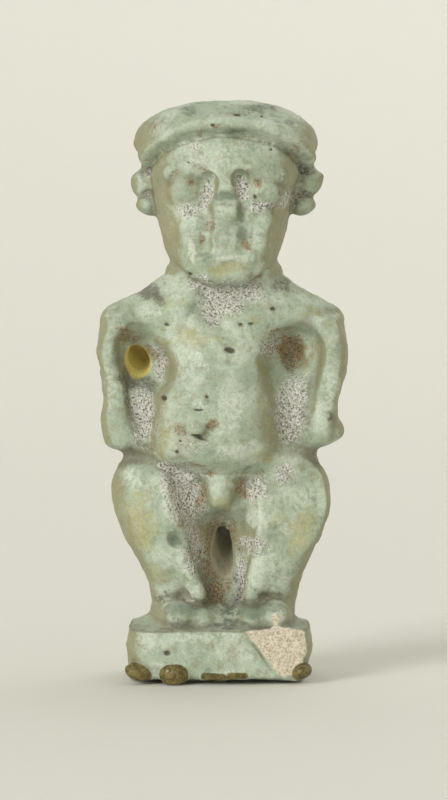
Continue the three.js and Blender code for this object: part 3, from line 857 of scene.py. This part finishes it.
def weather(p, normal):
    """Pushes the surface in and out, and gives the shares of each glaze zone and of the painted shade and
    highlights.
    """
    deep = closeness(p, normal, (0.6, 1.3, 2.6))
    # Painted shade: tight creases and recesses, where the figure closes over a point, are darkened in the
    # glaze colour.
    crease = closeness(p, normal, (0.35, 0.7))
    # Painted highlight: convex crests are lightened in the glaze colour.
    ridge = np.clip(figure(p - normal * 0.8) / 0.8 + 1, 0, 1)
    cut = CHIP_FRONT + CHIP_STEP + CHIP_FALL * ((p[:, 0] - CHIP_LEFT) * 0.806 + (p[:, 2] - CHIP_TOP) * 0.592)
    jag = 0.12 * noise(p, 0.8, 3.3) + 0.05 * noise(p, 0.3, 7.7)
    on_cut = 1 - ramp(np.abs(p[:, 1] - cut), 0.12, 0.3)
    beyond = (p[:, 0] - CHIP_LEFT) * 0.806 + (p[:, 2] - CHIP_TOP) * 0.592 + 2.2 * jag
    broken = on_cut * ramp(beyond, 0.15, 0.35) * (p[:, 2] < 7.5)
    dripped = ramp(-drips(p), -0.3, -0.05) * (p[:, 2] < 2.4)
    # Painted shade: the passage walls stand in for the shaded ground seen through the holes, yellow ochre in
    # the arm passage and grey-olive in the leg passage.
    in_arm = ramp(-np.abs(arm_hole(p)), -0.35, -0.12) * ramp(p[:, 1], -3.0, -2.2)
    in_leg = ramp(-np.abs(leg_hole(p)), -0.35, -0.12) * ramp(p[:, 1], -3.4, -2.6)
    grain = noise(p, 0.9) * 0.5 + noise(p, 0.45, 17.3) * 0.5
    wander = p + np.stack([noise(p, 1.3, s) for s in (3.1, 5.2, 8.4)], axis=1) * 0.4
    zones = {
        "grey": patches(wander, normal, GREY_HOLLOWS),
        "rust": patches(wander, normal, RUST_STAINS),
        "green": patches(wander, normal, DARK_GREEN),
        "soot": patches(wander, normal, SOOT_STAINS, -0.4),
        "pale": patches(wander, normal, PALE_PATCHES),
        "yellow": patches(wander, normal, YELLOW_PATCHES),
        "pit": patches(p, normal, [row[:5] + (1.0,) for row in PITS], -0.3),
    }
    behind = ramp(p[:, 1], -3.0, 1.5)
    hidden = ramp(deep + 0.12 * grain, 0.42, 0.62) * (0.3 + 0.7 * behind)
    zones["grey"] = np.maximum(zones["grey"], hidden)
    hidden = ramp(deep + 0.2 * noise(p, 2.2, 5.0), 0.6, 0.85) * 0.6 * behind
    zones["rust"] = np.maximum(zones["rust"], hidden)
    plain = 1 - np.maximum(broken, dripped)
    for name in ("grey", "rust", "green", "soot", "pale", "yellow"):
        zones[name] = zones[name] * plain
    # Surfaces turned sideways or backwards turn olive: partly a browner glaze, partly painted shade where
    # they turn from the light.
    across = np.abs(normal[:, 0]) + 0.45 * ramp(normal[:, 1], -0.2, 0.5)
    zones.update(
        deep=deep,
        crease=crease,
        ridge=ridge,
        broken=broken,
        drip=dripped,
        ochre=in_arm,
        bore=in_leg,
        side=ramp(across, 0.35, 0.95) * plain,
    )

    rough = np.maximum(zones["grey"], 0.7 * zones["rust"])
    push = 0.15 * noise(p, 3.2, 2.0) + 0.11 * noise(p, 1.4, 9.0) + 0.055 * noise(p, 0.6, 4.0)
    push += 0.02 * noise(p, 0.33, 12.0)
    push += rough * (0.045 * noise(p, 0.4, 6.0) + 0.03 * noise(p, 0.8, 8.0))
    push += broken * (0.12 * noise(p, 1.1, 3.0) + 0.06 * noise(p, 0.42, 1.0) - 0.1)
    push -= sum(patches(p, normal, [row], -0.3) for row in PITS)
    quiet = ramp(p[:, 2], 0.05, 0.5)
    return push * quiet, zones


def fitted(p, box):
    """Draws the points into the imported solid's own box, and sets the underside flat in z = 0."""
    low, high = (np.array(corner) / MM for corner in box)
    p = p.copy()
    p[:, 2] = np.maximum(p[:, 2], 0)
    scale = (high - low) / (p.max(0) - p.min(0))
    return low + (p - p.min(0)) * scale


values = grid_distances()
points, faces = first_net(values)
points, normals = settle(points)
push, zones = weather(points, normals)
points = fitted(points + normals * push[:, None], cad_box)

mesh = bpy.data.meshes.new("amulet")
mesh.from_pydata((points * MM).tolist(), [], faces.tolist())
for name, share in zones.items():
    attribute = mesh.attributes.new(name, "FLOAT", "POINT")
    attribute.data.foreach_set("value", np.clip(share, 0, 1).astype(np.float32))
mesh.shade_smooth()
amulet = bpy.data.objects.new("amulet", mesh)
bpy.context.scene.collection.objects.link(amulet)
print("amulet triangles", 2 * len(faces))

# ---- the glaze, with painted shade and highlights ----


class Nodes:
    """Short names for the shader nodes that this script uses."""

    def __init__(self, name):
        self.material = bpy.data.materials.new(name)
        self.material.use_nodes = True
        self.tree = self.material.node_tree
        self.shader = self.tree.nodes["Principled BSDF"]

    def add(self, kind, **settings):
        node = self.tree.nodes.new(kind)
        for key, value in settings.items():
            setattr(node, key, value)
        return node

    def link(self, output, socket):
        self.tree.links.new(output, socket)

    def zone(self, name):
        return self.add("ShaderNodeAttribute", attribute_name=name).outputs["Fac"]

    def noise(self, size, detail=2.0, roughness=0.5):
        """Noise whose features are about size millimetres."""
        if not hasattr(self, "place"):
            self.place = self.add("ShaderNodeTexCoord").outputs["Object"]
        node = self.add("ShaderNodeTexNoise")
        node.inputs["Scale"].default_value = 1 / (size * MM)
        node.inputs["Detail"].default_value = detail
        node.inputs["Roughness"].default_value = roughness
        self.link(self.place, node.inputs["Vector"])
        return node.outputs["Fac"]

    def ramp(self, value, low, high, start=0.0, end=1.0):
        node = self.add("ShaderNodeMapRange", interpolation_type="SMOOTHSTEP")
        for key, number in zip(("From Min", "From Max", "To Min", "To Max"), (low, high, start, end)):
            node.inputs[key].default_value = number
        self.link(value, node.inputs["Value"])
        return node.outputs["Result"]

    def math(self, operation, a, b):
        node = self.add("ShaderNodeMath", operation=operation)
        for socket, value in zip(node.inputs, (a, b)):
            if isinstance(value, (int, float)):
                socket.default_value = value
            else:
                self.link(value, socket)
        return node.outputs["Value"]

    def mix(self, share, a, b, blend="MIX"):
        """Colour a where share is 0 and colour b where it is 1."""
        node = self.add("ShaderNodeMix", data_type="RGBA", blend_type=blend)
        for socket, value in zip((node.inputs[0], node.inputs[6], node.inputs[7]), (share, a, b)):
            if isinstance(value, (tuple, float)):
                socket.default_value = value
            else:
                self.link(value, socket)
        return node.outputs[2]

    def multiply(self, colour, value):
        return self.mix(1.0, colour, value, "MULTIPLY")


def colour(red, green, blue):
    """A linear colour from the 0 to 255 values seen on a screen."""
    def linear(v):
        v /= 255
        return v / 12.92 if v <= 0.04045 else ((v + 0.055) / 1.055) ** 2.4

    return (linear(red), linear(green), linear(blue), 1.0)


MINT = colour(170, 182, 158)
# Pale mint: lighter glaze, also used for the painted highlights.
PALE_MINT = colour(205, 213, 194)
# Green-grey: a tint of the glaze, also used for painted shade.
GREEN_GREY = colour(118, 130, 112)
# Olive: blotches of the glaze, and also the painted shade on surfaces turned away from the light.
OLIVE = colour(146, 142, 108)
YELLOW_OLIVE = colour(178, 176, 132)
# The colour of the painted shade in creases.
DARK_OLIVE = colour(100, 94, 66)
LILAC = colour(196, 192, 186)
WHITE_GRAIN = colour(222, 220, 214)
# Dark grains of the glaze, and also the colour of the painted shade patches.
SOOT = colour(84, 82, 72)
RUST = colour(158, 134, 98)
DARK_RUST = colour(98, 78, 50)
BROKEN = colour(218, 208, 186)
BROKEN_GRAIN = colour(186, 172, 148)
PIT = colour(70, 62, 44)
DRIP = colour(122, 110, 66)
DARK_DRIP = colour(92, 82, 46)
# Painted colours of the shaded ground seen through the arm and leg passages.
OCHRE = colour(222, 205, 124)
BORE = colour(170, 166, 142)


def faience():
    n = Nodes("faience")
    cloud = n.noise(3.4, 4.0, 0.6)
    blotch = n.noise(1.2, 5.0, 0.65)
    mottle = n.noise(0.5, 4.0, 0.7)
    speck = n.noise(0.2, 2.0, 0.6)
    grit = n.noise(0.12, 1.0, 0.5)

    def zone(name, noise, spread, low, high, most):
        """A zone's share with an edge broken up by noise."""
        loose = n.math("MULTIPLY", n.ramp(noise, 0.3, 0.7, -1, 1), spread)
        return n.ramp(n.math("ADD", n.zone(name), loose), low, high, 0, most)

    body = n.mix(n.ramp(cloud, 0.42, 0.64, 0, 0.75), MINT, PALE_MINT)
    body = n.mix(n.ramp(blotch, 0.5, 0.68, 0, 0.55), body, OLIVE)
    body = n.mix(n.ramp(n.noise(1.9, 4.0, 0.6), 0.54, 0.7, 0, 0.5), body, GREEN_GREY)
    body = n.mix(zone("yellow", blotch, 0.3, 0.15, 0.9, 0.75), body, YELLOW_OLIVE)
    # Partly browner glaze, partly painted shade: turned-away surfaces go olive.
    body = n.mix(zone("side", mottle, 0.35, 0.2, 0.95, 0.85), body, OLIVE)
    # Painted highlight: crests are lightened towards pale mint.
    body = n.mix(n.ramp(n.zone("ridge"), 0.2, 0.5, 0, 0.4), body, PALE_MINT)
    # Painted highlights: the pale patches are lightened towards pale mint.
    body = n.mix(zone("pale", mottle, 0.3, 0.15, 0.9, 0.85), body, PALE_MINT)
    # Green tint and painted shade: the green-grey patches.
    body = n.mix(zone("green", mottle, 0.25, 0.15, 0.9, 0.85), body, GREEN_GREY)
    # Painted shade: creases are darkened towards dark olive.
    body = n.mix(n.ramp(n.zone("crease"), 0.1, 0.5, 0, 0.7), body, DARK_OLIVE)

    grains = n.mix(n.ramp(speck, 0.36, 0.5), SOOT, LILAC)
    grains = n.mix(n.ramp(speck, 0.52, 0.66), grains, WHITE_GRAIN)
    body = n.mix(zone("grey", mottle, 0.35, 0.2, 0.9, 0.8), body, grains)
    dirt = n.mix(n.ramp(speck, 0.38, 0.6), DARK_RUST, RUST)
    body = n.mix(zone("rust", mottle, 0.3, 0.15, 0.95, 0.85), body, dirt)
    # Stains and painted shade: the dark patches.
    body = n.mix(zone("soot", mottle, 0.4, 0.15, 0.95, 0.75), body, SOOT)
    body = n.mix(n.ramp(grit, 0.66, 0.76, 0, 0.55), body, SOOT)
    body = n.mix(n.ramp(n.zone("pit"), 0.3, 0.8, 0, 0.9), body, PIT)
    core = n.mix(n.ramp(speck, 0.36, 0.5), BROKEN_GRAIN, BROKEN)
    body = n.mix(n.ramp(n.zone("broken"), 0.4, 0.6), body, core)
    drip = n.ramp(n.zone("drip"), 0.3, 0.8)
    body = n.mix(drip, body, n.mix(n.ramp(mottle, 0.4, 0.6), DARK_DRIP, DRIP))
    # Painted shade: the passage walls take the colours of the shaded ground seen through them.
    body = n.mix(n.zone("ochre"), body, OCHRE)
    body = n.mix(n.zone("bore"), body, BORE)
    shade = n.math("MULTIPLY", n.ramp(mottle, 0.3, 0.7, 0.84, 1.1), n.ramp(speck, 0.3, 0.7, 0.92, 1.06))
    body = n.multiply(body, shade)
    n.link(body, n.shader.inputs["Base Color"])

    rough = n.ramp(n.math("MAXIMUM", n.zone("grey"), n.zone("broken")), 0, 0.6, 0.55, 0.85)
    n.link(n.math("SUBTRACT", rough, n.math("MULTIPLY", drip, 0.35)), n.shader.inputs["Roughness"])
    n.shader.inputs["Specular IOR Level"].default_value = 0.35

    height = n.math("ADD", n.math("MULTIPLY", speck, 0.6), n.math("MULTIPLY", grit, 0.4))
    bump = n.add("ShaderNodeBump")
    bump.inputs["Strength"].default_value = 0.5
    bump.inputs["Distance"].default_value = 0.1 * MM
    n.link(height, bump.inputs["Height"])
    n.link(bump.outputs["Normal"], n.shader.inputs["Normal"])
    return n.material


mesh.materials.append(faience())
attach(amulet, "root")
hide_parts(NODE)

# ---- floor, light and camera ----

FLOOR_FLAT = 0.4
WALL_RADIUS = 1.0
PAPER = colour(228, 227, 219)


def cove():
    """A round floor that curves up into a wall, so that it fills the view from any side."""
    rings = [(0.0, 0.0), (FLOOR_FLAT, 0.0)]
    for i in range(1, 17):
        turn = math.radians(90 * i / 16)
        bend = WALL_RADIUS - FLOOR_FLAT
        rings.append((FLOOR_FLAT + bend * math.sin(turn), bend * (1 - math.cos(turn))))
    rings.append((WALL_RADIUS, 1.6))
    sides = 64
    points = [(0, 0, 0)]
    for radius, height in rings[1:]:
        for i in range(sides):
            turn = math.tau * i / sides
            points.append((radius * math.cos(turn), radius * math.sin(turn), height))
    faces = [(0, 1 + i, 1 + (i + 1) % sides) for i in range(sides)]
    for ring in range(len(rings) - 2):
        a = 1 + ring * sides
        for i in range(sides):
            j = (i + 1) % sides
            faces.append((a + i, a + sides + i, a + sides + j, a + j))
    mesh = bpy.data.meshes.new("floor")
    mesh.from_pydata(points, [], faces)
    mesh.shade_smooth()
    floor = bpy.data.objects.new("floor", mesh)
    bpy.context.scene.collection.objects.link(floor)
    n = Nodes("paper")
    n.shader.inputs["Base Color"].default_value = PAPER
    n.shader.inputs["Roughness"].default_value = 0.9
    mesh.materials.append(n.material)
    floor.visible_shadow = False
    return floor


def soft_sun(name, azimuth, elevation, spread, strength):
    """Even soft light from one side; azimuth 0 shines from the front and 90 from the right."""
    data = bpy.data.lights.new(name, "SUN")
    data.angle = math.radians(spread)
    data.energy = strength
    a, e = math.radians(azimuth), math.radians(elevation)
    toward = Vector((math.sin(a) * math.cos(e), -math.cos(a) * math.cos(e), math.sin(e)))
    lamp = bpy.data.objects.new(name, data)
    lamp.rotation_euler = toward.to_track_quat("Z", "Y").to_euler()
    bpy.context.scene.collection.objects.link(lamp)


CAMERA_DISTANCE = 0.420
CAMERA_RISE = math.radians(3)
TARGET = Vector((0.00015, 0, 0.02795))
FRAME_HEIGHT = 0.08056


def camera():
    data = bpy.data.cameras.new("camera")
    data.sensor_fit = "VERTICAL"
    data.sensor_height = 24
    data.lens = 12 / (FRAME_HEIGHT / 2 / CAMERA_DISTANCE)
    data.clip_start = 0.01
    eye = bpy.data.objects.new("camera", data)
    back = Vector((0, -math.cos(CAMERA_RISE), math.sin(CAMERA_RISE)))
    eye.location = TARGET + back * CAMERA_DISTANCE
    eye.rotation_euler = (-back).to_track_quat("-Z", "Y").to_euler()
    bpy.context.scene.collection.objects.link(eye)
    bpy.context.scene.camera = eye


cove()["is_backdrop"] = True
bpy.context.scene.view_settings.view_transform = "Standard"
soft_sun("key", -42, 20, 24, 1.9)
soft_sun("fill", 30, 15, 60, 0.4)
soft_sun("back", 160, 50, 60, 0.6)
world = bpy.data.worlds.new("studio")
world.use_nodes = True
world.node_tree.nodes["Background"].inputs["Color"].default_value = colour(255, 255, 252)
world.node_tree.nodes["Background"].inputs["Strength"].default_value = 0.35
bpy.context.scene.world = world
camera()

boxes = {"cad": cad_box, "visual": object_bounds()}
{k: [list(corner) for corner in v] for k, v in boxes.items()}
